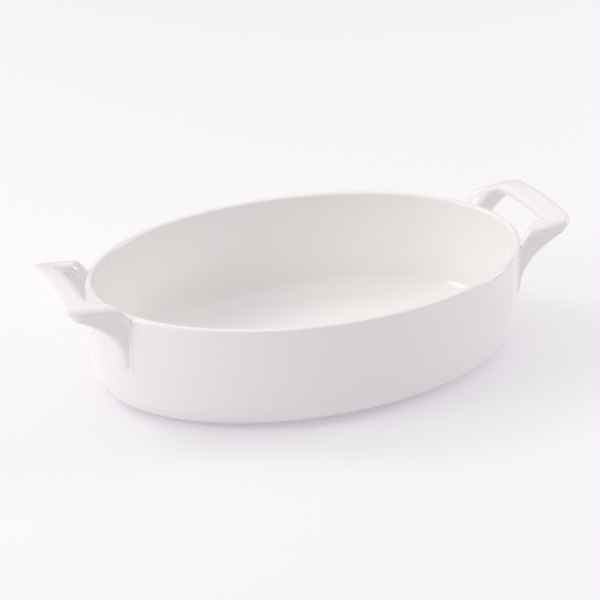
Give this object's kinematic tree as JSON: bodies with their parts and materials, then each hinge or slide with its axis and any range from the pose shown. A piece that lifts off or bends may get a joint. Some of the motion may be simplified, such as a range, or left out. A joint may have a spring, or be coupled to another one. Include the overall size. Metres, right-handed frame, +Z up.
{
  "type": "gratin dish",
  "caption": "Deep oval gratin dish in white glazed porcelain, with a rounded lip, a soft round foot and a loop handle at each end.",
  "frame": {"origin": "middle of the base, on the surface that the dish stands on", "axes": "+X along the long axis to the right handle, +Y to the back, +Z up out of the dish"},
  "size_m": [0.322, 0.1836, 0.0811],
  "materials": {
    "white_glaze": "glossy"
  },
  "bodies": {
    "root": {"dish_body": "white_glaze", "left_handle": "white_glaze", "left_handle_front_slip_joint": "white_glaze", "left_handle_back_slip_joint": "white_glaze", "right_handle": "white_glaze", "right_handle_front_slip_joint": "white_glaze", "right_handle_back_slip_joint": "white_glaze"}
  },
  "joints": []
}
